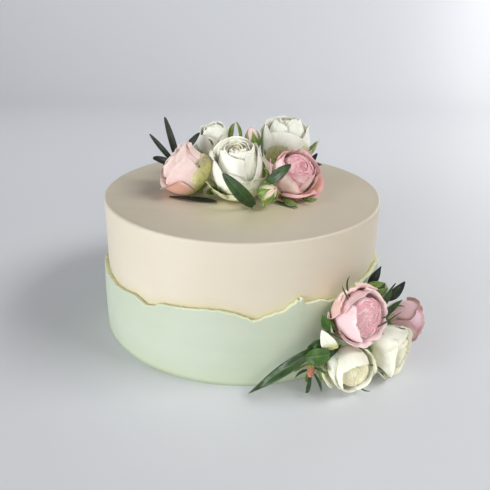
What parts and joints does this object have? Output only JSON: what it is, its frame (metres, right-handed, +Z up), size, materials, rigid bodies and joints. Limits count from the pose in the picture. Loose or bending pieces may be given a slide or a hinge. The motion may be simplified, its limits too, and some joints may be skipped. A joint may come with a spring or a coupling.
{
  "type": "celebration cake",
  "caption": "Round cream-covered celebration cake with a torn-edged second coat round its lower half and fresh roses on top and low at the side.",
  "frame": {"origin": "centre of the cake's flat underside", "axes": "+Z up; -Y is the front, the side the picture shows; the low flower bunch lies towards +X and -Y"},
  "size_m": [0.2416, 0.232, 0.153],
  "materials": {
    "cream": "smooth satin cream, peach",
    "band_cream": "smooth satin cream, pale mint green",
    "white_petal": "soft matt petal, creamy white with green tints",
    "pink_petal": "soft matt petal, pale pink",
    "bud_green": "matt bud and sepal, fresh green",
    "leaf": "satin leaf, mid green",
    "dark_leaf": "satin leaf, very dark green"
  },
  "bodies": {
    "root": {"cake": "cream", "cream_band": "band_cream", "pink_rose_top_left": "pink_petal", "white_rose_top_back": "white_petal", "white_rose_top_front": "white_petal", "white_rose_top_right": "white_petal", "pink_rose_top_right": "pink_petal", "pink_bud_top": "pink_petal", "green_bud_top": "bud_green", "pink_rose_side": "pink_petal", "white_rose_side": "white_petal", "white_rose_side_right": "white_petal", "pink_rose_side_right": "pink_petal", "small_bud_side": "bud_green", "green_bud_side": "bud_green", "leaf_top_tall": "dark_leaf", "leaf_top_slim": "dark_leaf", "leaf_top_left": "dark_leaf", "leaf_top_back_left": "dark_leaf", "leaf_top_front": "leaf", "leaf_top_front_right": "leaf", "leaf_top_low_left": "leaf", "leaf_top_low_right": "leaf", "leaf_top_right": "dark_leaf", "leaf_top_back_right": "leaf", "leaf_top_back": "leaf", "leaf_side_long": "leaf", "leaf_side_round": "leaf", "leaf_side_rear": "dark_leaf", "leaf_side_right": "dark_leaf", "leaf_side_between": "leaf", "leaf_side_left": "leaf", "petal_scrap_side": "white_petal"}
  },
  "joints": []
}
